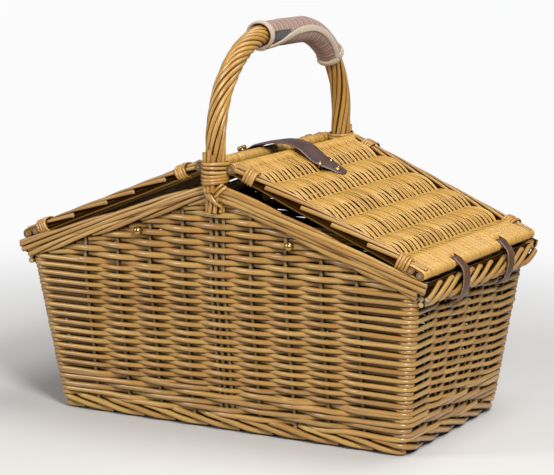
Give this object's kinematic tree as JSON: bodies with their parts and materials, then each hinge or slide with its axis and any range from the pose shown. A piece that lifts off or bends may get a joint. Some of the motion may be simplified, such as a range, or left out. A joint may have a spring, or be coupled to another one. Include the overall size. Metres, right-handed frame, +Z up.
{
  "type": "wicker picnic basket",
  "caption": "Gabled wicker picnic basket with two hinged lids, a fixed hoop handle with a fabric grip, leather hinge loops and a leather closure strap.",
  "frame": {"origin": "centre of the base on the surface that the basket stands on", "axes": "+Z up; +X along the long side, towards the right lid's hinge; -Y towards the front wall"},
  "size_m": [0.4936, 0.32, 0.432],
  "materials": {
    "brass": "polished, lightly worn",
    "leather": "smooth dark brown, satin",
    "grip_fabric": "woven stripe, padded",
    "grip_binding": "plain woven binding",
    "hook_tape": "hook-and-loop tape",
    "lid_willow": "varnished split willow",
    "handle_willow": "varnished willow rods",
    "stake_willow": "varnished willow rods, darker",
    "wall_willow": "varnished willow rods"
  },
  "bodies": {
    "basket": {"back_gable_border": "wall_willow", "back_gable_wale": "wall_willow", "back_stakes": "stake_willow", "back_wall_weave": "wall_willow", "ball_studs": "brass", "base_sticks": "stake_willow", "base_weave": "wall_willow", "bottom_wale": "wall_willow", "corner_posts": "stake_willow", "foot_border": "wall_willow", "front_gable_border": "wall_willow", "front_gable_wale": "wall_willow", "front_stakes": "stake_willow", "front_wall_weave": "wall_willow", "gable_bindings": "wall_willow", "grip_patch": "hook_tape", "grip_piping": "grip_binding", "grip_sleeve": "grip_fabric", "handle_bow": "handle_willow", "handle_collars": "handle_willow", "handle_pegs": "handle_willow", "handle_wrap": "handle_willow", "left_hinge_loops": "leather", "left_side_border": "wall_willow", "left_stakes": "stake_willow", "left_wall_weave": "wall_willow", "right_hinge_loops": "leather", "right_side_border": "wall_willow", "right_stakes": "stake_willow", "right_wall_weave": "wall_willow", "stud_nuts": "brass", "stud_washers": "brass"},
    "left_lid": {"left_lid_inner_stick": "lid_willow", "left_lid_lashings": "lid_willow", "left_lid_outer_sticks": "lid_willow", "left_lid_ribs": "lid_willow", "left_lid_side_bundles": "lid_willow", "left_lid_weave": "lid_willow", "turnlock_plate": "brass"},
    "right_lid": {"right_lid_inner_stick": "lid_willow", "right_lid_lashings": "lid_willow", "right_lid_outer_sticks": "lid_willow", "right_lid_ribs": "lid_willow", "right_lid_side_bundles": "lid_willow", "right_lid_weave": "lid_willow", "strap_base": "leather", "strap_burrs": "brass", "strap_rivets": "brass"},
    "strap_flap": {"strap_eyelet": "brass", "strap_flap": "leather"},
    "turn_button": {"turnlock_button": "brass"}
  },
  "joints": [
    {"name": "left_lid_hinge", "type": "hinge", "parent": "basket", "child": "left_lid", "pos_m": [-0.2336, 0, 0.1961], "axis": [0, -1, 0], "range_deg": [0, 90], "deforming": ["strap_flap", "strap_eyelet"]},
    {"name": "right_lid_hinge", "type": "hinge", "parent": "basket", "child": "right_lid", "pos_m": [0.2336, 0, 0.1961], "axis": [0, 1, 0], "range_deg": [0, 90]},
    {"name": "strap_fold", "type": "hinge", "parent": "right_lid", "child": "strap_flap", "pos_m": [0.04491, 0, 0.28206], "axis": [0, 1, 0], "range_deg": [0, 157.5]},
    {"name": "turn_lock", "type": "hinge", "parent": "left_lid", "child": "turn_button", "pos_m": [-0.04437, 0, 0.27448], "axis": [-0.3827, 0, 0.9239], "range_deg": [0, 90]}
  ],
  "couplings": [
    {"joint": "strap_fold", "follows": "left_lid_hinge", "ratio": 1.75}
  ]
}
